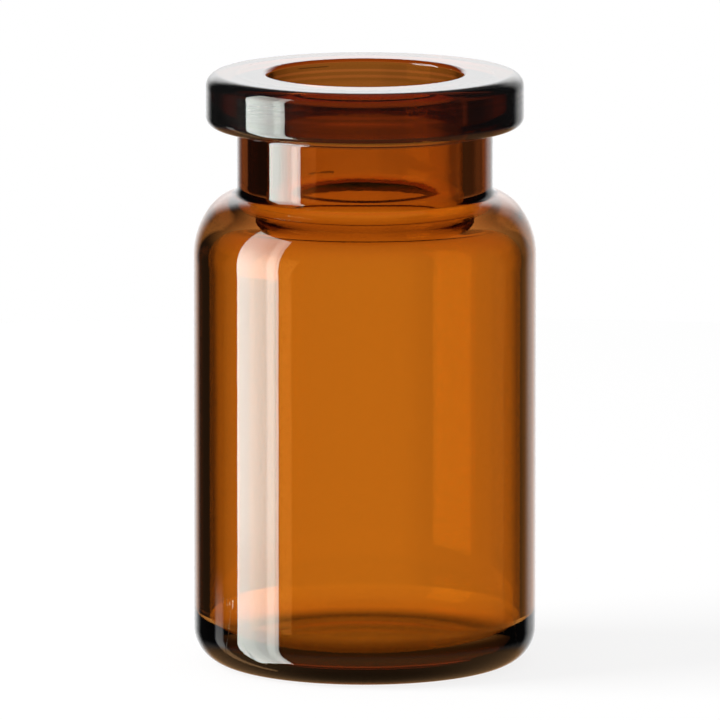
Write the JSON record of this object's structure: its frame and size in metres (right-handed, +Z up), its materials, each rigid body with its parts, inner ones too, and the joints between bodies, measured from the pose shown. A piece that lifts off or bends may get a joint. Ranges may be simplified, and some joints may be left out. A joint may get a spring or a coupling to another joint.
{
  "type": "glass sample vial",
  "caption": "Amber glass crimp-neck vial: thin-walled round body, short neck, wide flat rim and open bore.",
  "frame": {"origin": "centre of the foot, on the plane that the vial stands on", "axes": "+Z up along the vial's axis, from the foot to the mouth; +X and +Y are equal, as the vial is round"},
  "size_m": [0.022, 0.022, 0.0382],
  "materials": {
    "amber_glass": "fire-polished clear amber"
  },
  "bodies": {
    "root": {"vial": "amber_glass"}
  },
  "joints": []
}
